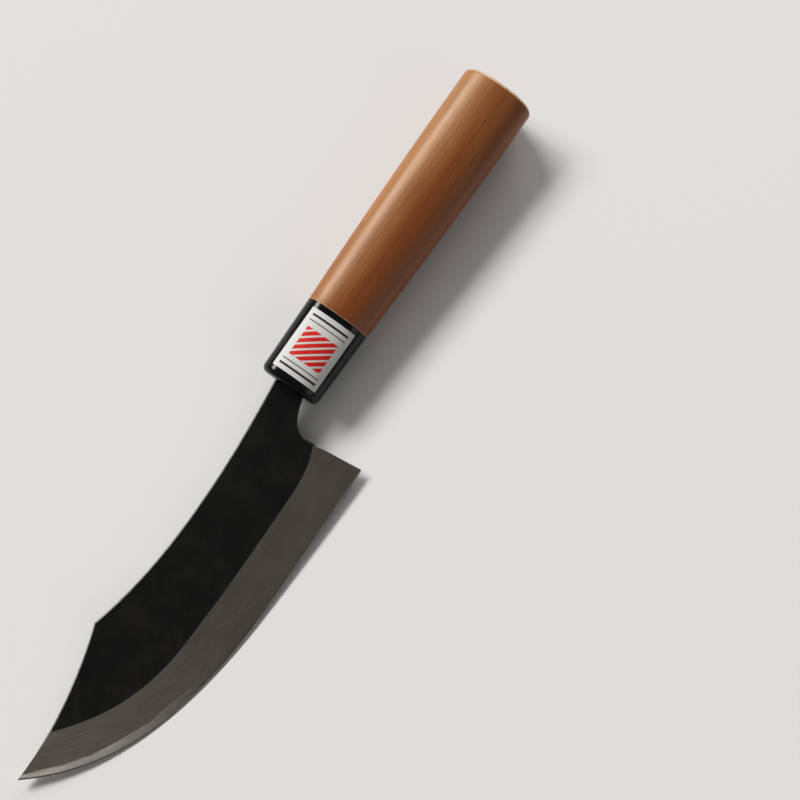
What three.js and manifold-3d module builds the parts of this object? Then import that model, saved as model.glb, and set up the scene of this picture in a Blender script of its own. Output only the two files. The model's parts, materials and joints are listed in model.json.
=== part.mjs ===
// A hidden-tang skinning knife: a three-layer forged blade, a black oval collar and a wooden grip.
//
// The knife is drawn in its own plane. X runs along the grip towards the tip, the cutting edge is on the
// +Y side, Z is the blade's thickness, and x = 0 is the front of the collar. Sizes are in millimetres.
// The finished knife is then laid on its right side, as it comes to rest on a table.
import * as THREE from "three";
import { mergeVertices } from "three/addons/utils/BufferGeometryUtils.js";
import Module from "manifold-3d";

const wasm = await Module();
wasm.setup();

const point = (x, y) => new THREE.Vector2(x, y);
const { degToRad, inverseLerp, lerp } = THREE.MathUtils;

// Blade outline: corners, and the control points of the curves between them
const neckSeat = 3; // how far the full-width neck sits inside the collar
const neckSpine = point(0, -5.2);
const spineCrown = point(63.4, 3.1); // pulls the spine into its sway
const clipCorner = point(100.5, -7);
const clipDish = point(130, 3.35); // hollows the clip between its corner and the tip
const tip = point(156.2, 2.4);
const bellyByTip = point(132.5, 31.6);
const bellyByEdge = point(98, 37.3);
const bellyStart = point(65, 37.3);
const heelEase = point(31, 37.3);
const heel = point(8.5, 36.4);
const heelLean = point(9.7, 26.9); // the heel runs up nearly straight, leaning towards the tip
const heelTop = point(10.6, 19);
const notchTop = point(10.95, 14.6);
const notchRound = point(11, 10.2);
const neckFlare = point(4.2, 7.4);
const neckEdge = point(0, 6);

// Blade thickness
const neckThickness = 3.4;
const tipThickness = 1.5;
const edgeThickness = 0.06;
const coreShare = 0.33; // of the blade's thickness, all along its length
const chamfer = 0.45; // polished corner along the spine, the clip, the heel and the notch

// Ground bevel, and the narrow one honed along it, measured in from the cutting edge
const honedWidth = 0.5;
const honedThickness = 0.36;
const bevelHeight = 15.1;
const bevelFlare = 4; // how much taller it is where it runs out at the heel
const bevelFlareLength = 18;
const bevelByTip = 1.5; // how much lower it is at the tip

// Tang: half sizes about the middle of the neck
const tangLength = 80;
const tangRoot = { width: 4.8, thickness: 1.55 };
const tangEnd = { width: 2.6, thickness: 1 };

// Grip and collar: half sizes of the oval section
const collarLength = 29;
const gripEnd = 126.5; // from the collar's front to the butt
const ovalPower = 2.25; // 2 is an ellipse, more is squarer
const frontOval = { width: 11.2, thickness: 8.1 };
const jointOval = { width: 11.85, thickness: 8.6 };
const buttOval = { width: 13.6, thickness: 9.6 };
const tenonOval = { width: 7.8, thickness: 5.4 };
const tenonLength = 23;
const tenonRoot = 2; // how far it starts inside the grip
const frontRound = 2.2;
const buttRound = 1.7;

// Paper label, wrapped over the collar's left face
const labelFront = 3.5; // behind the collar's front
const labelLength = 23.4;
const labelThickness = 0.12;
const labelFacets = 16; // of the oval, across its width

// Fits between neighbours
const weldSeam = 0.02;
const fitGap = 0.3;
const jointGap = 0.05;
const labelGap = 0.04;

// Facets
const ovalFacets = 64;
const roundSteps = 5;
const gripSteps = 10;
const spineSteps = 20;
const clipSteps = 12;
const edgeSteps = 48;
const heelSteps = 32;

// How it lies on a table: turned until the belly of the edge and the collar both touch
const restRoll = degToRad(8.43);
const restPitch = degToRad(1.77);

// Cutting tools
const past = 6; // how far one reaches beyond the blade's faces and ends
const overrun = 1; // how far one runs on past the line that it cuts to
const mergeWithin = 1e-5;

// Solids

function solidOf(geometry) {
  geometry.deleteAttribute("normal");
  geometry.deleteAttribute("uv");
  const { attributes, index } = mergeVertices(geometry, mergeWithin);
  const vertProperties = attributes.position.array;
  const triVerts = new Uint32Array(index.array);
  return new wasm.Manifold(new wasm.Mesh({ numProp: 3, vertProperties, triVerts }));
}

// The triangles that close an upright ring, turning the way that the ring does
function capOf(ring) {
  const corners = ring.map((p) => new THREE.Vector3(...p));
  const ahead = new THREE.Vector3();
  corners.forEach((p, i) => ahead.add(p.clone().cross(corners[(i + 1) % corners.length])));
  const across = new THREE.Vector3(0, 0, 1).cross(ahead).normalize();
  const flat = corners.map((p) => point(p.dot(across), p.z));
  return THREE.ShapeUtils.triangulateShape(flat, []);
}

// A solid through a row of upright rings, each a list of [x, y, z] with the same number of points.
// Seen from the last ring's end, every ring runs anticlockwise.
function loft(rings) {
  const count = rings[0].length;
  const last = (rings.length - 1) * count;
  const index = [];
  for (let r = 0; r + 1 < rings.length; r++) {
    for (let i = 0; i < count; i++) {
      const a = r * count + i;
      const b = r * count + ((i + 1) % count);
      index.push(a, b, b + count, a, b + count, a + count);
    }
  }
  for (const [a, b, c] of capOf(rings[0])) index.push(c, b, a);
  for (const [a, b, c] of capOf(rings.at(-1))) index.push(last + a, last + b, last + c);
  const geometry = new THREE.BufferGeometry();
  geometry.setAttribute("position", new THREE.Float32BufferAttribute(rings.flat(2), 3));
  geometry.setIndex(index);
  return solidOf(geometry);
}

// A rectangular ring across the knife at x
function slotRing(x, lowY, highY, halfZ) {
  return [
    [x, lowY, -halfZ],
    [x, highY, -halfZ],
    [x, highY, halfZ],
    [x, lowY, halfZ],
  ];
}

// A block whose XZ side view is the given outline, wider than the knife
function sideBlock(outline) {
  const width = 200;
  const shape = new THREE.Shape(outline.map(([x, z]) => point(x, z)));
  const geometry = new THREE.ExtrudeGeometry(shape, { depth: width, bevelEnabled: false });
  geometry.translate(0, 0, -width / 2);
  geometry.rotateX(Math.PI / 2);
  return solidOf(geometry);
}

// Blade

// The points along a row of curves that join end to end, with the direction at each
function stations(curves, steps) {
  const path = new THREE.CurvePath();
  curves.forEach((curve) => path.add(curve));
  return Array.from({ length: steps + 1 }, (_, i) => {
    return { at: path.getPointAt(i / steps), along: path.getTangentAt(i / steps) };
  });
}

const spineLine = stations([new THREE.QuadraticBezierCurve(neckSpine, spineCrown, clipCorner)], spineSteps);
const clipLine = stations([new THREE.QuadraticBezierCurve(clipCorner, clipDish, tip)], clipSteps);
const edgeLine = stations(
  [
    new THREE.QuadraticBezierCurve(heel, heelEase, bellyStart),
    new THREE.CubicBezierCurve(bellyStart, bellyByEdge, bellyByTip, tip),
  ],
  edgeSteps,
);
const heelLine = stations(
  [
    new THREE.CubicBezierCurve(heel, heelLean, heelTop, notchTop),
    new THREE.QuadraticBezierCurve(notchTop, notchRound, neckFlare),
    new THREE.LineCurve(neckFlare, neckEdge),
  ],
  heelSteps,
);

// Half the blade's thickness, which thins evenly from the collar to the tip
function halfThickness(x) {
  return lerp(neckThickness, tipThickness, Math.max(x, 0) / tip.x) / 2;
}

// The side view of one face, or of the layer line at a share of the thickness
function faceLine(share, side) {
  return [-tangLength - past, 0, tip.x + past].map((x) => [x, side * share * halfThickness(x)]);
}

function bladePlan() {
  const edge = edgeLine.slice(1, -1).reverse();
  const outline = [...spineLine, ...clipLine.slice(1), ...edge, ...heelLine].map((station) => station.at);
  const seat = [point(-neckSeat, neckEdge.y), point(-neckSeat, neckSpine.y)];
  const shape = new THREE.Shape([...outline, ...seat]);
  const geometry = new THREE.ExtrudeGeometry(shape, { depth: 2 * past, bevelEnabled: false });
  geometry.translate(0, 0, -past);
  return solidOf(geometry);
}

function tang(gap) {
  const middle = (neckSpine.y + neckEdge.y) / 2;
  const ring = (x, { width, thickness }) => {
    return slotRing(x, middle - width - gap, middle + width + gap, thickness + gap);
  };
  return loft([ring(-tangLength - gap, tangEnd), ring(-neckSeat + overrun, tangRoot)]);
}

// A ring of one face's tool, turned the right way round for that face
const onFace = (ring, side) => (side > 0 ? ring.reverse() : ring);

// What grinding takes off one face: all that is above the slope from the edge up to the bevel line
function bevelTool(side) {
  const rings = edgeLine.map(({ at, along }) => {
    const inward = point(along.y, -along.x);
    const byHeel = Math.max(0, 1 - (at.x - heel.x) / bevelFlareLength);
    const byTip = Math.max(0, inverseLerp(bellyStart.x, tip.x, at.x));
    const height = bevelHeight + bevelFlare * byHeel ** 2 - bevelByTip * byTip ** 2;
    const bevelX = at.x + inward.x * height;
    const slope = (halfThickness(bevelX) - honedThickness / 2) / (height - honedWidth);
    const corner = (distance, z) => {
      return [at.x + inward.x * distance, at.y + inward.y * distance, side * z];
    };
    const ground = (distance) => corner(distance, honedThickness / 2 + slope * (distance - honedWidth));
    const edge = [corner(-overrun, edgeThickness / 2), corner(0, edgeThickness / 2)];
    const far = height + overrun;
    const outside = [corner(far, past), corner(-overrun, past)];
    return onFace([...edge, ground(honedWidth), ground(height), ground(far), ...outside], side);
  });
  const behindHeel = rings[0].map(([x, y, z]) => [x - past, y, z]);
  return loft([behindHeel, ...rings]);
}

// The strip that polishing takes off one corner of the outline
function chamferTool(line, side) {
  const rings = line.map(({ at, along }) => {
    const outward = point(along.y, -along.x);
    const corner = (out, up) => {
      const z = side * (halfThickness(at.x) + up);
      return [at.x + outward.x * out, at.y + outward.y * out, z];
    };
    const depth = -chamfer - overrun;
    return onFace([corner(depth, overrun), corner(overrun, depth), corner(overrun, overrun)], side);
  });
  return loft(rings);
}

function bladeBlank() {
  const sideView = [...faceLine(1, -1), ...faceLine(1, 1).reverse()];
  let blank = bladePlan().intersect(sideBlock(sideView)).add(tang(0));
  for (const side of [1, -1]) {
    blank = blank.subtract(bevelTool(side));
    for (const line of [spineLine, clipLine, heelLine]) blank = blank.subtract(chamferTool(line, side));
  }
  return blank;
}

function coreBlock() {
  return sideBlock([...faceLine(coreShare, -1), ...faceLine(coreShare, 1).reverse()]);
}

function claddingBlock(side) {
  const weld = faceLine(coreShare, side).map(([x, z]) => [x, z + side * weldSeam]);
  const outside = weld.map(([x]) => [x, side * past]).reverse();
  return sideBlock([...weld, ...outside]);
}

// Collar, grip and label

function ovalRing(x, { width, thickness }, grow = 0) {
  const bulge = (v) => Math.sign(v) * Math.abs(v) ** (2 / ovalPower);
  return Array.from({ length: ovalFacets }, (_, i) => {
    const angle = (2 * Math.PI * i) / ovalFacets;
    return [x, (width + grow) * bulge(Math.cos(angle)), (thickness + grow) * bulge(Math.sin(angle))];
  });
}

const ovalBetween = (a, b, s) => ({
  width: lerp(a.width, b.width, s),
  thickness: lerp(a.thickness, b.thickness, s),
});

// Rings that round an end over, drawing in as they near its flat face
function roundedEnd(x, oval, radius, facing) {
  return Array.from({ length: roundSteps + 1 }, (_, i) => {
    const angle = (Math.PI / 2) * (i / roundSteps);
    const back = radius * (1 - Math.sin(angle));
    return ovalRing(x - facing * back, oval, radius * (Math.cos(angle) - 1));
  });
}

function tenon(gap) {
  const ends = [-collarLength - tenonRoot, -collarLength + tenonLength + gap];
  return loft(ends.map((x) => ovalRing(x, tenonOval, gap)));
}

function collar() {
  const outside = loft([ovalRing(-collarLength, jointOval), ...roundedEnd(0, frontOval, frontRound, 1)]);
  const slotEnds = [-neckSeat - fitGap, past];
  const slot = slotEnds.map((x) => {
    return slotRing(x, neckSpine.y - fitGap, neckEdge.y + fitGap, neckThickness / 2 + fitGap);
  });
  return outside.subtract(tenon(fitGap)).subtract(loft(slot)).subtract(tang(fitGap));
}

// The grip swells quickly behind the collar and runs nearly straight to the butt
function grip() {
  const swell = Array.from({ length: gripSteps }, (_, i) => {
    const s = i / gripSteps;
    const x = lerp(-collarLength - jointGap, -gripEnd, s);
    return ovalRing(x, ovalBetween(jointOval, buttOval, 1 - (1 - s) ** 2));
  });
  const butt = roundedEnd(-gripEnd, buttOval, buttRound, -1);
  return loft([...swell, ...butt].reverse()).add(tenon(0)).subtract(tang(fitGap));
}

function label() {
  const first = (ovalFacets / 2 - labelFacets) / 2;
  const arc = (x, grow) => {
    const oval = ovalBetween(jointOval, frontOval, inverseLerp(-collarLength, -frontRound, x));
    return ovalRing(x, oval, grow).slice(first, first + labelFacets + 1);
  };
  const ends = [-labelFront - labelLength, -labelFront];
  return loft(ends.map((x) => [...arc(x, labelGap + labelThickness), ...arc(x, labelGap).reverse()]));
}

// Assembly

const steel = { color: 0xa8a5a0, roughness: 0.35, metalness: 1 };
const forgedIron = { color: 0x3a3836, roughness: 0.55, metalness: 0.8 };
const blackCollar = { color: 0x121110, roughness: 0.35, metalness: 0 };
const brownWood = { color: 0xa5683a, roughness: 0.5, metalness: 0 };
const paper = { color: 0xe8e4dc, roughness: 0.75, metalness: 0 };

function piece(name, solid, finish) {
  const { vertProperties, triVerts } = solid.getMesh();
  const geometry = new THREE.BufferGeometry();
  geometry.setAttribute("position", new THREE.BufferAttribute(vertProperties, 3));
  geometry.setIndex(new THREE.BufferAttribute(triVerts, 1));
  const mesh = new THREE.Mesh(geometry, new THREE.MeshStandardMaterial(finish));
  mesh.name = name;
  return mesh;
}

const blank = bladeBlank();
const knife = new THREE.Group();
knife.add(
  piece("core_steel", blank.intersect(coreBlock()), steel),
  piece("cladding_left", blank.intersect(claddingBlock(1)), forgedIron),
  piece("cladding_right", blank.intersect(claddingBlock(-1)), forgedIron),
  piece("ferrule", collar(), blackCollar),
  piece("handle", grip(), brownWood),
  piece("label", label(), paper),
);

// Laid down: turned about its own axes, then centred over the origin and set on the table
knife.rotation.set(-restRoll, restPitch, 0);
const lying = new THREE.Group();
lying.add(knife);
lying.updateMatrixWorld(true);
const box = new THREE.Box3().setFromObject(knife, true);
const middle = box.getCenter(new THREE.Vector3());
knife.position.set(-middle.x, -middle.y, -box.min.z);

export default lying;
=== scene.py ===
import json
import math

import bmesh
import bpy
from mathutils import Matrix, Vector

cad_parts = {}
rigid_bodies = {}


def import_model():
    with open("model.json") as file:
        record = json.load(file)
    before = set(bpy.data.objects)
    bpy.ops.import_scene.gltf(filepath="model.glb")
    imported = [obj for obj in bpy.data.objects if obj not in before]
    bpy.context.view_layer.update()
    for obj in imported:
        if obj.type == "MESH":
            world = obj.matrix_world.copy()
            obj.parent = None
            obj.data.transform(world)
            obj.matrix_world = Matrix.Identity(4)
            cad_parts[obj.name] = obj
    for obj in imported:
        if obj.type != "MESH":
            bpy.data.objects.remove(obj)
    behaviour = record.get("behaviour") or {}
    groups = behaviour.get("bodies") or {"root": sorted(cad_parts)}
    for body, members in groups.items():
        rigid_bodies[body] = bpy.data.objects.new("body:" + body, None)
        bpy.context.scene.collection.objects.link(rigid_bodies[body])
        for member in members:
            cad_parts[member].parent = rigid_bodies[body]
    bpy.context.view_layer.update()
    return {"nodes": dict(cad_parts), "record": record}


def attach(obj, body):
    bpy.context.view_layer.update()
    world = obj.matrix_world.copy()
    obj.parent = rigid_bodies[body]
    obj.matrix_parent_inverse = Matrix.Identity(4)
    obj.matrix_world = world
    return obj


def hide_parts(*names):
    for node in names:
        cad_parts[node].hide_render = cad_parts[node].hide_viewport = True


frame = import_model()
bpy.ops.object.select_all(action="DESELECT")
mm = 0.001
tiny = 1e-7  # metres, below any size that is meant
gripEnd = 126.5  # collar front to butt, in mm

# The knife's own frame, found from its mounts: x to the tip, y to the cutting edge, z out of the left face
mounts = {mount["name"]: mount for mount in frame["record"]["mounts"]}
toTip = -Vector(mounts["butt_face"]["axis"]).normalized()
leftAxis = Vector(mounts["blade_left_flat"]["axis"])
rightAxis = Vector(mounts["blade_right_flat"]["axis"])
outLeft = (leftAxis - rightAxis).normalized()
toEdge = outLeft.cross(toTip).normalized()
zero = Vector(mounts["butt_face"]["pos_m"]) + toTip * gripEnd * mm  # middle of the collar's front
knifeToRow = Matrix.Translation(zero) @ Matrix((toTip, toEdge, outLeft)).transposed().to_4x4()
print("frame loaded, knife origin at", [round(v / mm, 2) for v in zero])


# Modelling helpers

def pickOnly(piece):
    bpy.ops.object.select_all(action="DESELECT")
    piece.select_set(True)
    bpy.context.view_layer.objects.active = piece


def editMode(piece):
    pickOnly(piece)
    bpy.ops.object.mode_set(mode="EDIT")
    bpy.ops.mesh.select_all(action="DESELECT")


def objectMode():
    bpy.ops.object.mode_set(mode="OBJECT")


# Selects the faces or the edges that pass a test
def selectWhere(piece, kind, wanted):
    bpy.ops.mesh.select_mode(type=kind)
    bpy.ops.mesh.select_all(action="DESELECT")
    bm = bmesh.from_edit_mesh(piece.data)
    for element in bm.faces if kind == "FACE" else bm.edges:
        element.select_set(wanted(element))
    bmesh.update_edit_mesh(piece.data)


# Selects the flat end that looks forwards (1) or backwards (-1) along the knife
def selectEnd(piece, way):
    squareOn = 0.999
    selectWhere(piece, "FACE", lambda face: face.normal.x * way > squareOn)


def applyModifier(piece, kind, **settings):
    pickOnly(piece)
    modifier = piece.modifiers.new(kind.title(), kind)
    for name, value in settings.items():
        setattr(modifier, name, value)
    bpy.ops.object.modifier_apply(modifier=modifier.name)


def cutWith(piece, cutter):
    applyModifier(piece, "BOOLEAN", operation="DIFFERENCE", object=cutter, solver="EXACT")
    bpy.data.objects.remove(cutter)


def smoothByAngle(piece, degrees):
    pickOnly(piece)
    bpy.ops.object.shade_smooth_by_angle(angle=math.radians(degrees), keep_sharp_edges=True)


# A block between its lowest and highest corners, in mm
def block(lows, highs):
    bpy.ops.object.select_all(action="DESELECT")
    bpy.ops.mesh.primitive_cube_add(
        size=1, location=[(low + high) / 2 * mm for low, high in zip(lows, highs)],
        scale=[(high - low) * mm for low, high in zip(lows, highs)])
    bpy.ops.object.transform_apply(location=True, rotation=True, scale=True)
    return bpy.context.active_object


# A round bar along the knife's axis, from x = back to x = front, in mm
def roundBar(name, back, front, facets):
    bpy.ops.object.select_all(action="DESELECT")
    bpy.ops.mesh.primitive_cylinder_add(
        vertices=facets, radius=mm, depth=(front - back) * mm,
        location=((back + front) / 2 * mm, 0, 0), rotation=(0, math.pi / 2, 0))
    bar = bpy.context.active_object
    bar.name = name
    bpy.ops.object.transform_apply(location=True, rotation=True, scale=True)
    return bar


ovalPower = 2.25  # 2 is an ellipse, more is squarer


# Presses a bar's round section into the oval whose half width and half thickness are given at each x, in mm
def pressOval(bar, halvesAt):
    bm = bmesh.from_edit_mesh(bar.data)
    for vert in bm.verts:
        halfWidth, halfThickness = halvesAt(vert.co.x / mm)
        angle = math.atan2(vert.co.z, vert.co.y)
        across, up = math.cos(angle), math.sin(angle)
        vert.co.y = math.copysign(abs(across) ** (2 / ovalPower), across) * halfWidth * mm
        vert.co.z = math.copysign(abs(up) ** (2 / ovalPower), up) * halfThickness * mm
    bmesh.update_edit_mesh(bar.data)


# Rounds off the selected edges, by a radius in mm
def roundOff(radius, steps):
    bpy.ops.mesh.bevel(offset=radius * mm, segments=steps, profile=0.5, affect="EDGES")


# Lays a finished piece down with the knife and hands it to the frame
def layDown(piece, node):
    pickOnly(piece)
    piece.matrix_world = knifeToRow
    bpy.ops.object.transform_apply(location=True, rotation=True, scale=True)
    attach(piece, "root")
    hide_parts(node)
    print(piece.name, "has", len(piece.data.polygons), "faces")


# Node helpers

def newFinish(name):
    finish = bpy.data.materials.new(name)
    finish.use_nodes = True
    return finish, finish.node_tree, finish.node_tree.nodes["Principled BSDF"]


def feed(tree, socket, value):
    if isinstance(value, bpy.types.NodeSocket):
        tree.links.new(value, socket)
    else:
        socket.default_value = value


def addNode(tree, kind, inputs=None, **settings):
    made = tree.nodes.new("ShaderNode" + kind)
    for name, value in settings.items():
        setattr(made, name, value)
    for name, value in (inputs or {}).items():
        feed(tree, made.inputs[name], value)
    return made


def maths(tree, operation, a, b=0.0, clamp=False):
    return addNode(tree, "Math", {0: a, 1: b}, operation=operation, use_clamp=clamp).outputs[0]


def blend(tree, share, a, b, how="MIX"):
    made = addNode(tree, "Mix", {0: share, 6: a, 7: b}, data_type="RGBA", blend_type=how)
    return made.outputs[2]


# A colour made darker or lighter by a grey value
def shaded(tree, colour, shade):
    grey = addNode(tree, "CombineColor", {0: shade, 1: shade, 2: shade}).outputs[0]
    return blend(tree, 1.0, colour, grey, "MULTIPLY")


# Maps a value from one span to another, eased at both ends unless linear
def spread(tree, value, span, to=(0.0, 1.0), ease="SMOOTHSTEP"):
    inputs = {0: value, 1: span[0], 2: span[1], 3: to[0], 4: to[1]}
    return addNode(tree, "MapRange", inputs, interpolation_type=ease).outputs[0]


# The surface point in the knife's own frame, in mm
def knifePoint(tree):
    where = addNode(tree, "TexCoord").outputs["Object"]
    inputs = {"Vector": where, "Location": zero, "Rotation": knifeToRow.to_euler(), "Scale": (mm, mm, mm)}
    return addNode(tree, "Mapping", inputs, vector_type="TEXTURE").outputs["Vector"]


def stretch(tree, point, times):
    return addNode(tree, "VectorMath", {0: point, 1: times}, operation="MULTIPLY").outputs[0]


# Noise whose grains are about the given size in mm along each axis
def noiseOf(tree, point, size, detail=2.0, roughness=0.5, warp=0.0):
    inputs = {"Vector": stretch(tree, point, [1 / s for s in size]), "Scale": 1.0, "Detail": detail,
              "Roughness": roughness, "Distortion": warp}
    return addNode(tree, "TexNoise", inputs).outputs["Fac"]


mostNoise = (0.25, 0.75)  # levels between which most of a noise lies
middleNoise = 0.5


# Noise that wanders to both sides of zero, over the given reach in all
def wander(tree, point, size, reach, **kind):
    off = maths(tree, "SUBTRACT", noiseOf(tree, point, size, **kind), middleNoise)
    return maths(tree, "MULTIPLY", off, reach)


# A bump of a depth in mm and a strength, over another one if that is given
def bumpOf(tree, height, depth, strength, under=None):
    inputs = {"Height": height, "Distance": depth * mm, "Strength": strength}
    if under is not None:
        inputs["Normal"] = under
    return addNode(tree, "Bump", inputs).outputs["Normal"]


# Finishes. Sizes are in mm, Levels are the noise levels where a change starts and ends, and each Bump
# is a depth in mm and a strength

scaleLook = {
    "black": (0.0042, 0.0042, 0.0038, 1),
    "brown": (0.0082, 0.0072, 0.0056, 1),
    "brownSize": (11, 11, 11),
    "brownLevels": (0.42, 0.72),
    "olive": (0.0070, 0.0082, 0.0052, 1),
    "oliveSize": (24.2, 15.4, 11),
    "oliveLevels": (0.5, 0.75),
    "grainSize": (0.45, 0.45, 0.45),
    "grainLevels": (0.35, 0.7),
    "grainShade": (0.7, 1.3),
    "grainBump": (0.012, 0.5),
    "pitGap": 1.3,
    "pitWidth": 0.35,  # of the gap
    "pitBump": (0.02, 0.35),
    "rough": (0.40, 0.58),
    "roughLevels": (0.3, 0.75),
    "grainRough": 0.12,
    "gloss": 0.16,
}


# Black forge scale: mottled, faintly brown and olive, with fine pits
def forgeScaleFinish():
    look = scaleLook
    finish, tree, shader = newFinish("forgeScale")
    point = knifePoint(tree)
    patch = noiseOf(tree, point, look["brownSize"], detail=4, roughness=0.6, warp=0.6)
    tint = noiseOf(tree, point, look["oliveSize"], detail=3, roughness=0.55)
    grain = noiseOf(tree, point, look["grainSize"], detail=3, roughness=0.7)
    scale = blend(tree, spread(tree, patch, look["brownLevels"]), look["black"], look["brown"])
    scale = blend(tree, spread(tree, tint, look["oliveLevels"]), scale, look["olive"])
    scale = shaded(tree, scale, spread(tree, grain, look["grainLevels"], look["grainShade"]))
    feed(tree, shader.inputs["Base Color"], scale)
    rough = spread(tree, patch, look["roughLevels"], look["rough"])
    rough = maths(tree, "ADD", rough, maths(tree, "MULTIPLY", grain, look["grainRough"]))
    feed(tree, shader.inputs["Roughness"], rough)
    pitPoint = stretch(tree, point, [1 / look["pitGap"]] * 3)
    fromPit = addNode(tree, "TexVoronoi", {"Vector": pitPoint, "Scale": 1.0}).outputs["Distance"]
    pits = spread(tree, fromPit, (0.0, look["pitWidth"]))
    fine = bumpOf(tree, grain, *look["grainBump"])
    feed(tree, shader.inputs["Normal"], bumpOf(tree, pits, *look["pitBump"], fine))
    shader.inputs["Specular IOR Level"].default_value = look["gloss"]
    return finish


# Places along the blade are x in mm
bevelLook = {
    "iron": (0.241, 0.216, 0.181, 1),
    "paintedTipSheen": (0.385, 0.341, 0.287, 1),
    "paintedTipSheenAt": (60, 156),  # where the painted sheen on the iron starts and is brightest
    "steel": (1.0, 0.92, 0.825, 1),
    "collarToTip": (0, 156.2),
    "halfThickness": (1.7, 0.75),  # of the blade, at the collar and at the tip
    "coreShare": 0.33,  # of the thickness, where the steel core comes out
    "coreWave": 0.14,  # of the thickness, the most that its line wanders
    "coreWaveLength": 15.0,
    "coreBlur": 0.02,  # of its line
    "coreShownAt": (90, 158),  # where it starts to show and shows most
    "coreRough": 0.1,  # how much more it scatters the light
    "paintedEdgeShades": (((45, 90), (1.0, 0.6)), ((100, 150), (0.6, 0.9))),  # stretches, and the painted shade of the very edge there
    "paintedEdgeShadeFrom": (0.1, 0.95),  # of the way out to the core's line, where the painted shade is darkest and where it has faded
    "bevelRise": 11,  # mm of bevel to each mm of thickness
    "streakSize": (9, 0.35, 1),
    "streakShade": (0.95, 1.05),
    "streakBump": (0.004, 0.4),
    "hazeSize": (16, 7, 7),
    "hazeShade": (0.93, 1.07),
    "rough": (0.36, 0.46),
    "roughLevels": (0.2, 0.8),
}


# Ground bevel: hazy iron with a painted highlight towards the tip, then the brighter steel core with painted
# shade towards the rounded edge
def groundBevelFinish():
    look = bevelLook
    finish, tree, shader = newFinish("groundBevel")
    point = knifePoint(tree)
    axes = addNode(tree, "SeparateXYZ", {0: point})
    x, z = axes.outputs["X"], axes.outputs["Z"]

    # How far out a point lies from the blade's middle, with 1 on the core's wavy line
    half = spread(tree, x, look["collarToTip"], look["halfThickness"], "LINEAR")
    share = maths(tree, "DIVIDE", maths(tree, "ABSOLUTE", z), half)
    along = addNode(tree, "CombineXYZ", {"X": x}).outputs[0]
    wave = wander(tree, along, [look["coreWaveLength"]] * 3, look["coreWave"], roughness=0.4)
    outwards = maths(tree, "DIVIDE", share, maths(tree, "ADD", wave, look["coreShare"]))
    core = spread(tree, outwards, (1 + look["coreBlur"], 1 - look["coreBlur"]))
    core = maths(tree, "MULTIPLY", core, spread(tree, x, look["coreShownAt"]))
    # Painted shade: the core is darkened towards the very edge, for the dark that its rounding reflects
    paintedEdgeDarkest = maths(tree, "MAXIMUM", *[spread(tree, x, *ramp) for ramp in look["paintedEdgeShades"]])
    paintedEdgeShade = spread(tree, outwards, look["paintedEdgeShadeFrom"], (paintedEdgeDarkest, 1.0), "LINEAR")

    # Grinding streaks that run along the bevel, and haze
    up = maths(tree, "MULTIPLY", z, look["bevelRise"])
    ground = addNode(tree, "CombineXYZ", {"X": x, "Y": up}).outputs[0]
    streak = noiseOf(tree, ground, look["streakSize"], detail=4, roughness=0.6)
    haze = noiseOf(tree, point, look["hazeSize"], detail=3, roughness=0.55)
    shade = maths(tree, "MULTIPLY", spread(tree, streak, mostNoise, look["streakShade"]),
                  spread(tree, haze, mostNoise, look["hazeShade"]))
    # Painted highlight: the iron is made brighter towards the tip
    iron = blend(tree, spread(tree, x, look["paintedTipSheenAt"]), look["iron"], look["paintedTipSheen"])
    metal = blend(tree, core, iron, look["steel"])
    metal = shaded(tree, metal, maths(tree, "MULTIPLY", shade, paintedEdgeShade))
    feed(tree, shader.inputs["Base Color"], metal)
    rough = spread(tree, streak, look["roughLevels"], look["rough"])
    rough = maths(tree, "ADD", rough, maths(tree, "MULTIPLY", core, look["coreRough"]))
    feed(tree, shader.inputs["Roughness"], rough)
    feed(tree, shader.inputs["Normal"], bumpOf(tree, streak, *look["streakBump"]))
    shader.inputs["Metallic"].default_value = 1.0
    return finish


polishLook = {
    "corner": (0.56, 0.545, 0.52, 1),
    "cornerRough": (0.192, 0.30),
    "honed": (0.40, 0.38, 0.352, 1),
    "honedRough": (0.16, 0.25),
    "dull": (0.40, 0.385, 0.36, 1),
    "dullSize": (14, 5, 5),
    "dullLevels": (0.35, 0.75),
    "dragSize": (9, 0.25, 0.25),
    "dragBump": (0.004, 0.4),
}


# Polished metal of the corners and of the honed edge, with drag marks along the blade
def polishedFinish(name, bright, rough):
    look = polishLook
    finish, tree, shader = newFinish(name)
    point = knifePoint(tree)
    drag = noiseOf(tree, point, look["dragSize"], detail=3, roughness=0.6)
    cloud = noiseOf(tree, point, look["dullSize"])
    metal = blend(tree, spread(tree, cloud, look["dullLevels"]), bright, look["dull"])
    feed(tree, shader.inputs["Base Color"], metal)
    feed(tree, shader.inputs["Roughness"], spread(tree, drag, mostNoise, rough))
    feed(tree, shader.inputs["Normal"], bumpOf(tree, drag, *look["dragBump"]))
    shader.inputs["Metallic"].default_value = 1.0
    return finish


rawIronLook = {
    "iron": (0.016, 0.016, 0.014, 1),
    "rust": (0.036, 0.029, 0.022, 1),
    "rustSize": (6, 3, 3),
    "rustLevels": (0.45, 0.75),
    "grainSize": (0.6, 0.6, 0.6),
    "grainBump": (0.03, 0.5),
    "rough": (0.5, 0.75),
    "roughLevels": (0.3, 0.7),
    "metallic": 0.6,
}


# Unground iron of the notch, of the tang and of the welded faces
def rawIronFinish():
    look = rawIronLook
    finish, tree, shader = newFinish("rawIron")
    point = knifePoint(tree)
    patch = noiseOf(tree, point, look["rustSize"], detail=4, roughness=0.6)
    grain = noiseOf(tree, point, look["grainSize"], detail=3, roughness=0.6)
    iron = blend(tree, spread(tree, patch, look["rustLevels"]), look["iron"], look["rust"])
    feed(tree, shader.inputs["Base Color"], iron)
    feed(tree, shader.inputs["Roughness"], spread(tree, grain, look["roughLevels"], look["rough"]))
    feed(tree, shader.inputs["Normal"], bumpOf(tree, grain, *look["grainBump"]))
    shader.inputs["Metallic"].default_value = look["metallic"]
    return finish


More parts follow.
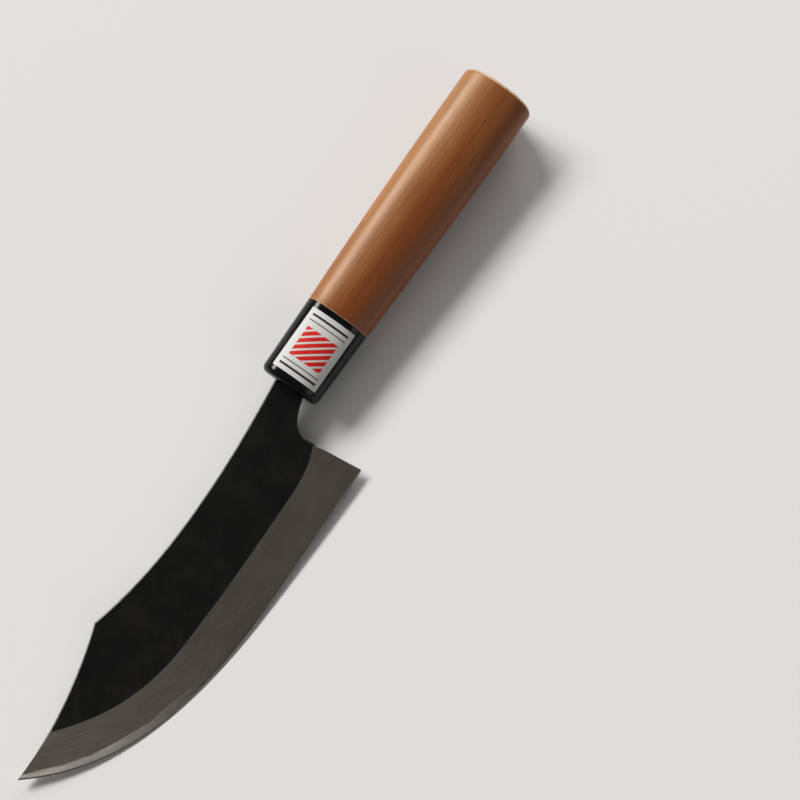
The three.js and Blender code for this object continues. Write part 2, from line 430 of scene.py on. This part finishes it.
collarLook = {
    "black": (0.0038, 0.0036, 0.0035, 1),
    "smudge": (0.0080, 0.0077, 0.0073, 1),
    "smudgeSize": (8, 6, 6),
    "smudgeLevels": (0.4, 0.75),
    "turningSize": (0.22, 7, 7),
    "turningBump": (0.006, 0.35),
    "grainSize": (0.35, 0.35, 0.35),
    "grainBump": (0.004, 0.25),
    "rough": (0.14, 0.27),
    "roughLevels": (0.3, 0.75),
    "gloss": 0.22,
}


# Black moulded resin: semi-gloss, with hand smudges and turning marks round it
def collarFinish():
    look = collarLook
    finish, tree, shader = newFinish("blackCollar")
    point = knifePoint(tree)
    smudge = noiseOf(tree, point, look["smudgeSize"], detail=4, roughness=0.6, warp=0.5)
    turning = noiseOf(tree, point, look["turningSize"])
    grain = noiseOf(tree, point, look["grainSize"], roughness=0.6)
    resin = blend(tree, spread(tree, smudge, look["smudgeLevels"]), look["black"], look["smudge"])
    feed(tree, shader.inputs["Base Color"], resin)
    feed(tree, shader.inputs["Roughness"], spread(tree, smudge, look["roughLevels"], look["rough"]))
    marks = bumpOf(tree, turning, *look["turningBump"])
    feed(tree, shader.inputs["Normal"], bumpOf(tree, grain, *look["grainBump"], marks))
    shader.inputs["Specular IOR Level"].default_value = look["gloss"]
    return finish


# Places along the grip are x in mm, from the collar's front
woodLook = {
    "heart": (0, 46, -30),  # where the middle of the tree would be, in mm from the grip's axis
    "ring": 1.15,  # mm between growth rings
    "bendSize": (90, 22, 22),
    "bend": 4.8,  # the most that a ring wanders
    "red": (0.222, 0.053, 0.0075, 1),
    "gold": (0.348, 0.138, 0.036, 1),
    "goldFrom": (57.6, 66.4),  # mm from the heart, where the red starts to turn golden and has turned
    "cloudSize": (60, 7, 7),
    "cloudLevels": (0.3, 0.7),
    "cloudGold": (-0.25, 0.25),  # how much less or more golden a cloud is
    "buttAt": (-125, -60),
    "buttGold": (0.14, -0.14),  # how much more golden the butt is, and less the rest
    "late": (0.112, 0.025, 0.0045, 1),
    "lateYear": ((0.2, 0.9), (1.0, 0.92)),  # when in the year the dark wood comes in, and goes
    "lateShare": (0.05, 0.34),  # in the palest ring and the darkest
    "fibreSize": (30, 0.28, 0.28),
    "fibreShade": (0.86, 1.14),
    "fibreBump": (0.012, 0.4),
    "pore": (0.060, 0.022, 0.009, 1),
    "poreSize": (5.0, 0.24, 0.24),
    "poreLevels": (0.68, 0.75),
    "poreShare": 0.5,
    "poreBump": (-0.03, 0.5),
    "endGrainAt": (0.05 - gripEnd, 0.2 - gripEnd),
    "endGrainShade": 0.78,
    # pale rubbed wood, also a painted highlight on the rims
    "paleWearAndHighlight": (0.620, 0.430, 0.250, 1),
    "wearAndHighlightSize": (3, 3, 3),
    "wearAndHighlightLevels": (0.25, 0.6),
    "wearAndHighlightShare": (0.3, 1.0),
    "rimWearAndHighlightAt": ((1.2 - gripEnd, 0.95 - gripEnd), (0.2 - gripEnd, 0.55 - gripEnd)),  # butt's pale rim: rubbed wood with a painted highlight
    "lipWearAndHighlightAt": (-29.6, -29.1),  # the other one, on the eased edge at the collar, also rubbed wood with a painted highlight
    "lipWearAndHighlightShare": 0.6,
    "rough": (0.37, 0.50),
    "gloss": 0.56,
    "glossTint": (1.0, 0.93, 0.78, 1),
}


# Straight-grained reddish wood, solid all through, so the butt shows its end grain
def woodFinish():
    look = woodLook
    finish, tree, shader = newFinish("handleWood")
    point = knifePoint(tree)
    x = addNode(tree, "SeparateXYZ", {0: point}).outputs["X"]

    # Growth rings round the heart, each with its own share of dark late wood
    fromHeart = addNode(tree, "VectorMath", {0: point, 1: look["heart"]}, operation="SUBTRACT").outputs[0]
    outwards = stretch(tree, fromHeart, (0.0, 1.0, 1.0))
    radius = addNode(tree, "VectorMath", {0: outwards}, operation="LENGTH").outputs["Value"]
    radius = maths(tree, "ADD", radius, wander(tree, point, look["bendSize"], look["bend"]))
    rings = maths(tree, "DIVIDE", radius, look["ring"])
    year = maths(tree, "FRACT", rings)
    whole = maths(tree, "FLOOR", rings)
    chance = addNode(tree, "TexWhiteNoise", {"W": whole}, noise_dimensions="1D").outputs[0]
    late = maths(tree, "MULTIPLY", *[spread(tree, year, span) for span in look["lateYear"]])
    late = maths(tree, "MULTIPLY", late, spread(tree, chance, (0, 1), look["lateShare"], "LINEAR"))

    # Red by the heart and golden further out
    cloud = noiseOf(tree, point, look["cloudSize"], detail=3, roughness=0.6)
    drift = maths(tree, "ADD", spread(tree, cloud, look["cloudLevels"], look["cloudGold"]),
                  spread(tree, x, look["buttAt"], look["buttGold"]))
    golden = maths(tree, "ADD", spread(tree, radius, look["goldFrom"]), drift, clamp=True)
    wood = blend(tree, golden, look["red"], look["gold"])
    wood = blend(tree, late, wood, look["late"])

    # Fibres and pores, and the darker end grain
    fibre = noiseOf(tree, point, look["fibreSize"], detail=4, roughness=0.65)
    shade = maths(tree, "MULTIPLY", spread(tree, fibre, mostNoise, look["fibreShade"]),
                  spread(tree, x, look["endGrainAt"], (look["endGrainShade"], 1.0)))
    wood = shaded(tree, wood, shade)
    pore = noiseOf(tree, point, look["poreSize"], detail=1, roughness=0.4)
    pore = spread(tree, pore, look["poreLevels"])
    wood = blend(tree, maths(tree, "MULTIPLY", pore, look["poreShare"]), wood, look["pore"])

    # Pale edges: rubbed wood with a painted highlight
    wearAndHighlightMask = maths(tree, "MULTIPLY", *[spread(tree, x, span) for span in look["rimWearAndHighlightAt"]])
    wearAndHighlightMask = maths(tree, "MAXIMUM", wearAndHighlightMask, spread(tree, x, look["lipWearAndHighlightAt"], (0.0, look["lipWearAndHighlightShare"])))
    wearAndHighlightPatches = noiseOf(tree, point, look["wearAndHighlightSize"], detail=3)
    wearAndHighlightPatches = spread(tree, wearAndHighlightPatches, look["wearAndHighlightLevels"], look["wearAndHighlightShare"])
    wood = blend(tree, maths(tree, "MULTIPLY", wearAndHighlightMask, wearAndHighlightPatches), wood, look["paleWearAndHighlight"])
    feed(tree, shader.inputs["Base Color"], wood)
    feed(tree, shader.inputs["Roughness"], spread(tree, fibre, mostNoise, look["rough"]))
    grooves = bumpOf(tree, pore, *look["poreBump"])
    feed(tree, shader.inputs["Normal"], bumpOf(tree, fibre, *look["fibreBump"], grooves))
    shader.inputs["Specular IOR Level"].default_value = look["gloss"]
    shader.inputs["Specular Tint"].default_value = look["glossTint"]
    return finish


# Places along the label are in mm from its edge by the wood
labelLook = {
    "length": 23.4,  # mm
    "width": 17.0,
    "paper": (0.66, 0.648, 0.62, 1),
    "fibre": (0.60, 0.585, 0.555, 1),
    "fibreSize": (0.5, 0.5, 0.5),
    "fibreLevels": (0.3, 0.7),
    "fibreShare": 0.5,
    "fibreBump": (0.012, 0.4),
    "black": (0.018, 0.017, 0.017, 1),
    "rules": ((2.1, 0.8), (4.1, 0.35), (19.5, 0.35), (21.4, 0.8)),  # place and thickness
    "ruleSide": 1.4,  # white left at each side
    "red": (0.64, 0.016, 0.010, 1),
    "panel": (6.4, 17.6),
    "panelSide": 2.4,
    "stripe": 2.6,  # pitch of the slanted stripes
    "stripeSlant": 0.76,
    "stripeInk": (0.16, 0.84),  # of the pitch
    "soft": 0.06,  # how soft the print's edges are
    "rough": (0.5, 0.7),
    "roughLevels": (0.2, 0.8),
    "gloss": 0.2,
}


# Paper with a plain print: black rules across both ends and a panel of slanted red stripes
def labelFinish():
    look = labelLook
    finish, tree, shader = newFinish("labelPaper")
    uv = addNode(tree, "TexCoord").outputs["UV"]
    axes = addNode(tree, "SeparateXYZ", {0: stretch(tree, uv, (look["length"], look["width"], 0.0))})
    along, across = axes.outputs["X"], axes.outputs["Y"]

    def within(value, low, high):
        rising = spread(tree, value, (low - look["soft"], low + look["soft"]))
        falling = spread(tree, value, (high + look["soft"], high - look["soft"]))
        return maths(tree, "MULTIPLY", rising, falling)

    def clearOf(side):
        return within(across, side, look["width"] - side)

    ink = 0.0
    for place, thick in look["rules"]:
        ink = maths(tree, "MAXIMUM", ink, within(along, place - thick / 2, place + thick / 2))
    ink = maths(tree, "MULTIPLY", ink, clearOf(look["ruleSide"]))
    slanted = maths(tree, "ADD", along, maths(tree, "MULTIPLY", across, look["stripeSlant"]))
    stripe = maths(tree, "FRACT", maths(tree, "DIVIDE", slanted, look["stripe"]))
    panel = maths(tree, "MULTIPLY", within(along, *look["panel"]), clearOf(look["panelSide"]))
    red = maths(tree, "MULTIPLY", panel, within(stripe, *look["stripeInk"]))
    fibre = noiseOf(tree, knifePoint(tree), look["fibreSize"], detail=3, roughness=0.6)
    fleck = spread(tree, fibre, look["fibreLevels"], (0.0, look["fibreShare"]))
    paper = blend(tree, fleck, look["paper"], look["fibre"])
    paper = blend(tree, red, paper, look["red"])
    feed(tree, shader.inputs["Base Color"], blend(tree, ink, paper, look["black"]))
    feed(tree, shader.inputs["Roughness"], spread(tree, fibre, look["roughLevels"], look["rough"]))
    feed(tree, shader.inputs["Normal"], bumpOf(tree, fibre, *look["fibreBump"]))
    shader.inputs["Specular IOR Level"].default_value = look["gloss"]
    return finish


finishes = {
    "forgeScale": forgeScaleFinish(),
    "groundBevel": groundBevelFinish(),
    "polishedCorner": polishedFinish("polishedCorner", polishLook["corner"], polishLook["cornerRough"]),
    "honedEdge": polishedFinish("honedEdge", polishLook["honed"], polishLook["honedRough"]),
    "rawIron": rawIronFinish(),
    "blackCollar": collarFinish(),
    "handleWood": woodFinish(),
    "labelPaper": labelFinish(),
}
print("finishes made:", len(finishes))


# Blade: three forged layers

bladeShape = {
    "flatLean": 0.9995,  # how square a facet stands to the blade's face: the flat, the bevel, the honed edge
    "bevelLean": 0.985,
    "honedLean": 0.9,
    "tangX": -2,  # mm, where the tang starts
    "notchTo": (11.4, 19),  # x and y where the notch ends and the ground heel starts
    "dipX": (79, 137.3),  # mm, where the line between flat and bevel dips towards the belly of the edge
    "dipDepth": 1.4,
    "dipEase": 1.2,  # more than 1 starts the dip softly
    "gridX": -5,  # mm, where the grid over the flat starts
    "cell": 1.4,  # mm, its cells, which take the dents
    "dent": 8.0,  # mm across
    "dentDepth": 0.07,
    "sharpAngle": 25,
}
faceSlot, bevelSlot, cornerSlot, rawSlot = range(4)  # a layer's material slots


# A layer's copy, its loose triangles merged, turned back into the knife's own frame
def layerCopy(node, name):
    mesh = frame["nodes"][node].data.copy()
    piece = bpy.data.objects.new(name, mesh)
    bpy.context.scene.collection.objects.link(piece)
    mesh.materials.clear()
    mesh.transform(knifeToRow.inverted())
    pickOnly(piece)
    bpy.ops.mesh.customdata_custom_splitnormals_clear()
    editMode(piece)
    bpy.ops.mesh.select_all(action="SELECT")
    bpy.ops.mesh.remove_doubles(threshold=10 * tiny)
    bpy.ops.mesh.mark_sharp(clear=True)
    objectMode()
    return piece


# Which finish a facet has. Side is 1 for the left cladding, -1 for the right one and 0 for the core
def facetFinish(facet, side):
    shape = bladeShape
    lean = abs(facet.normal.z)
    middle = facet.calc_center_median() / mm
    notchX, notchY = shape["notchTo"]
    inNotch = lean < shape["honedLean"] and middle.x < notchX and 0 < middle.y < notchY
    if inNotch or middle.x < shape["tangX"]:
        return rawSlot
    if side and lean > shape["flatLean"]:
        return faceSlot if facet.normal.z * side > 0 else rawSlot
    if lean > shape["bevelLean"]:
        return bevelSlot
    if lean > shape["honedLean"]:
        return bevelSlot if side else faceSlot
    return cornerSlot


def selectFinish(piece, slot):
    bpy.ops.mesh.select_mode(type="FACE")
    bpy.ops.mesh.select_all(action="DESELECT")
    piece.active_material_index = slot
    bpy.ops.object.material_slot_select()


# Lowers the line between flat and bevel along the belly, in the flat's own plane
def dipBevelLine(piece):
    start, end = bladeShape["dipX"]
    bm = bmesh.from_edit_mesh(piece.data)
    for vert in bm.verts:
        way = (vert.co.x / mm - start) / (end - start)
        slots = {facet.material_index for facet in vert.link_faces}
        if 0 < way < 1 and slots >= {faceSlot, bevelSlot}:
            dip = math.sin(math.pi * way) ** bladeShape["dipEase"] * bladeShape["dipDepth"]
            vert.co.y += dip * mm
    bmesh.update_edit_mesh(piece.data)


# Cuts the flat into a grid, so that it can take dents
def gridFlat(piece):
    selectFinish(piece, faceSlot)
    bpy.ops.mesh.dissolve_faces()
    lows, highs = Vector(piece.bound_box[0]), Vector(piece.bound_box[6])
    lows.x = max(lows.x, bladeShape["gridX"] * mm)
    for axis, facing in enumerate((Vector((1, 0, 0)), Vector((0, 1, 0)))):
        reach = highs[axis] - lows[axis]
        cells = math.ceil(reach / (bladeShape["cell"] * mm))
        for i in range(1, cells):
            selectFinish(piece, faceSlot)
            at = facing * (lows[axis] + reach * i / cells)
            bpy.ops.mesh.bisect(plane_co=at, plane_no=facing, threshold=tiny)


def dentFlat(piece):
    dents = bpy.data.textures.new("forgeDents", "CLOUDS")
    dents.noise_scale = bladeShape["dent"] * mm
    dents.noise_depth = 1
    editMode(piece)
    selectFinish(piece, faceSlot)
    bpy.ops.mesh.select_less()
    group = piece.vertex_groups.new(name="flat")
    bpy.ops.object.vertex_group_assign()
    objectMode()
    applyModifier(piece, "DISPLACE", texture=dents, texture_coords="LOCAL", direction="NORMAL",
                  strength=bladeShape["dentDepth"] * mm, mid_level=1.0, vertex_group=group.name)
    piece.vertex_groups.clear()


def bladeLayer(node, name, side, face):
    piece = layerCopy(node, name)
    for finish in (face, "groundBevel", "polishedCorner", "rawIron"):
        piece.data.materials.append(finishes[finish])
    editMode(piece)
    bm = bmesh.from_edit_mesh(piece.data)
    for facet in bm.faces:
        facet.material_index = facetFinish(facet, side)
    bmesh.update_edit_mesh(piece.data)
    if side:
        dipBevelLine(piece)
        gridFlat(piece)
    selectFinish(piece, faceSlot)
    bpy.ops.mesh.region_to_loop()
    bpy.ops.mesh.mark_sharp()
    objectMode()
    smoothByAngle(piece, bladeShape["sharpAngle"])
    if side:
        dentFlat(piece)
    layDown(piece, node)


bladeLayer("cladding_left", "bladeLeft", 1, "forgeScale")
bladeLayer("cladding_right", "bladeRight", -1, "forgeScale")
bladeLayer("core_steel", "bladeCore", 0, "honedEdge")
print("blade forged")


# Tang hole, tapering back from the collar

tangShape = {
    "rootX": -2,
    "endX": -80.3,
    "middleY": 0.4,
    "rootHalf": (5.1, 1.85),
    "endHalf": (2.9, 1.3),
}


def tangCutter():
    shape = tangShape
    halfWidth, halfThickness = shape["rootHalf"]
    cutter = block((shape["endX"], shape["middleY"] - halfWidth, -halfThickness),
                   (shape["rootX"], shape["middleY"] + halfWidth, halfThickness))
    editMode(cutter)
    selectEnd(cutter, -1)
    narrower = [end / root for end, root in zip(shape["endHalf"], shape["rootHalf"])]
    bpy.ops.transform.resize(value=(1, *narrower),
                             center_override=(shape["endX"] * mm, shape["middleY"] * mm, 0))
    objectMode()
    return cutter


# Collar

collarShape = {
    "length": 29,
    "facets": 160,
    "frontHalf": (11.2, 8.1),
    "backHalf": (11.85, 8.6),
    "frontRound": 2.2,
    "roundSteps": 12,
    "backEase": 0.12,
    "wall": 3.3,
    "socketDepth": 23.3,
    "neckSlot": ((-3.3, -5.5, -2.0), (4, 6.3, 2.0)),  # lowest and highest corners
    "sharpAngle": 35,
}


def makeCollar():
    shape = collarShape
    back = -shape["length"]
    collar = roundBar("collar", back, 0, shape["facets"])

    def halvesAt(x):
        share = min(1, (x - back) / (-shape["frontRound"] - back))
        return [a + (b - a) * share for a, b in zip(shape["backHalf"], shape["frontHalf"])]

    editMode(collar)
    pressOval(collar, halvesAt)
    selectWhere(collar, "EDGE", lambda edge: all(abs(vert.co.x) < tiny for vert in edge.verts))
    roundOff(shape["frontRound"], shape["roundSteps"])
    selectEnd(collar, -1)
    bpy.ops.mesh.inset(thickness=shape["backEase"] * mm)
    bpy.ops.mesh.inset(thickness=(shape["wall"] - shape["backEase"]) * mm)
    bpy.ops.mesh.extrude_region_move(TRANSFORM_OT_translate={"value": (shape["socketDepth"] * mm, 0, 0)})
    objectMode()
    cutWith(collar, block(*shape["neckSlot"]))
    cutWith(collar, tangCutter())
    smoothByAngle(collar, shape["sharpAngle"])
    collar.data.materials.append(finishes["blackCollar"])
    return collar


# Handle

handleShape = {
    "front": 29.05,
    "facets": 192,
    "rings": 28,
    "frontHalf": (11.85, 8.6),
    "buttHalf": (13.6, 9.6),
    "buttRound": 1.7,
    "roundSteps": 10,
    "frontEase": 0.22,  # eased edge against the collar
    "easeSteps": 3,
    "shoulder": 3.6,
    "tenonLength": 23.05,
    "sharpAngle": 35,
}


def makeHandle():
    shape = handleShape
    front, butt = -shape["front"], -gripEnd
    handle = roundBar("woodGrip", butt, front, shape["facets"])

    # Swells quickly behind the collar, then runs nearly straight
    def halvesAt(x):
        share = (front - x) / (front - butt)
        swell = 1 - (1 - share) ** 2
        return [a + (b - a) * swell for a, b in zip(shape["frontHalf"], shape["buttHalf"])]

    editMode(handle)
    selectWhere(handle, "EDGE", lambda edge: abs(edge.verts[0].co.x - edge.verts[1].co.x) > mm)
    bpy.ops.mesh.subdivide(number_cuts=shape["rings"])
    pressOval(handle, halvesAt)
    selectWhere(handle, "EDGE", lambda edge: all(vert.co.x < butt * mm + tiny for vert in edge.verts))
    roundOff(shape["buttRound"], shape["roundSteps"])
    selectWhere(handle, "EDGE", lambda edge: all(vert.co.x > front * mm - tiny for vert in edge.verts))
    roundOff(shape["frontEase"], shape["easeSteps"])
    selectEnd(handle, 1)
    bpy.ops.mesh.inset(thickness=(shape["shoulder"] - shape["frontEase"]) * mm)
    bpy.ops.mesh.extrude_region_move(TRANSFORM_OT_translate={"value": (shape["tenonLength"] * mm, 0, 0)})
    objectMode()
    cutWith(handle, tangCutter())
    smoothByAngle(handle, shape["sharpAngle"])
    handle.data.materials.append(finishes["handleWood"])
    return handle


# Label, pressed over the collar's left face

labelShape = {
    "front": 3.5,  # behind the collar's front
    "lengthCells": 24,
    "widthCells": 48,
    "lift": 0.04,
    "thickness": 0.12,
    "height": 20,  # where the flat sheet starts, above the collar
    "sharpAngle": 40,
}


def makeLabel(collar):
    shape = labelShape
    length, width = labelLook["length"], labelLook["width"]
    bpy.ops.object.select_all(action="DESELECT")
    bpy.ops.mesh.primitive_grid_add(
        x_subdivisions=shape["lengthCells"], y_subdivisions=shape["widthCells"], size=1,
        location=((-shape["front"] - length / 2) * mm, 0, shape["height"] * mm))
    label = bpy.context.active_object
    label.name = "paperLabel"
    bpy.ops.transform.resize(value=(length * mm, width * mm, 1))
    bpy.ops.object.transform_apply(location=True, rotation=True, scale=True)
    applyModifier(label, "SHRINKWRAP", target=collar, wrap_method="PROJECT", use_project_z=True,
                  use_negative_direction=True, use_positive_direction=False, offset=shape["lift"] * mm)
    applyModifier(label, "SOLIDIFY", thickness=shape["thickness"] * mm, offset=1)
    smoothByAngle(label, shape["sharpAngle"])
    label.data.materials.append(finishes["labelPaper"])
    return label


collar = makeCollar()
label = makeLabel(collar)
handle = makeHandle()
layDown(collar, "ferrule")
layDown(handle, "handle")
layDown(label, "label")
print("collar, handle and label made")


# Floor, light and camera

floorLook = {
    "size": 48.0,  # metres
    "below": 0.04,  # mm, room for the grip's finer roundings
    "pale": (0.78, 0.77, 0.75, 1),
    "rough": 0.9,
    "gloss": 0.2,
}


def makeFloor():
    look = floorLook
    bpy.ops.object.select_all(action="DESELECT")
    bpy.ops.mesh.primitive_plane_add(size=look["size"], location=(0, 0, -look["below"] * mm))
    floor = bpy.context.active_object
    floor.name = "floor"
    finish, tree, shader = newFinish("paleFloor")
    shader.inputs["Base Color"].default_value = look["pale"]
    shader.inputs["Roughness"].default_value = look["rough"]
    shader.inputs["Specular IOR Level"].default_value = look["gloss"]
    floor.data.materials.append(finish)


# Place, aim and size in metres, power in watts
studio = {
    "air": 0.14,  # brightness of the room
    "lamps": {
        "softbox": {"place": (-2.8, -11.2, 8.0), "aim": (0, 0, 0), "size": (10.4, 3.2), "power": 2480},
        "rimBox": {"place": (-11.2, -3.8, 4.4), "aim": (-0.1, 0, 0), "size": (7.6, 5.2), "power": 512},
        "fillBox": {"place": (1.6, 11.0, 6.0), "aim": (0, 0, 0), "size": (8.0, 6.0), "power": 160},
    },
}


def makeLight():
    world = bpy.data.worlds.new("studio")
    world.use_nodes = True
    air = world.node_tree.nodes["Background"]
    air.inputs["Color"].default_value = (1, 1, 1, 1)
    air.inputs["Strength"].default_value = studio["air"]
    bpy.context.scene.world = world
    for name, lamp in studio["lamps"].items():
        bpy.ops.object.light_add(type="AREA", location=lamp["place"])
        made = bpy.context.active_object
        made.name = name
        made.data.shape = "RECTANGLE"
        made.data.size, made.data.size_y = lamp["size"]
        made.data.energy = lamp["power"]
        toAim = Vector(lamp["aim"]) - Vector(lamp["place"])
        made.rotation_euler = toAim.to_track_quat("-Z", "Y").to_euler()


# In the knife's own frame, in mm
cameraShape = {
    "place": (18.44, 25.93, 413.17),
    "aim": (-18.52, 33.41, 0),
    "up": (-0.8153, -0.5757, 0.0625),
    "lens": 54.78,
    "nearest": 10,
}


def makeCamera():
    shape = cameraShape
    place = Vector(shape["place"]) * mm
    back = (place - Vector(shape["aim"]) * mm).normalized()
    right = Vector(shape["up"]).cross(back).normalized()
    upright = back.cross(right)
    data = bpy.data.cameras.new("camera")
    data.lens = shape["lens"]
    data.clip_start = shape["nearest"] * mm
    camera = bpy.data.objects.new("camera", data)
    bpy.context.scene.collection.objects.link(camera)
    turned = Matrix((right, upright, back)).transposed().to_4x4()
    camera.matrix_world = knifeToRow @ Matrix.Translation(place) @ turned
    bpy.context.scene.camera = camera


makeFloor()
makeLight()
makeCamera()
bpy.context.scene.view_settings.view_transform = "Standard"
print("floor, light and camera set")
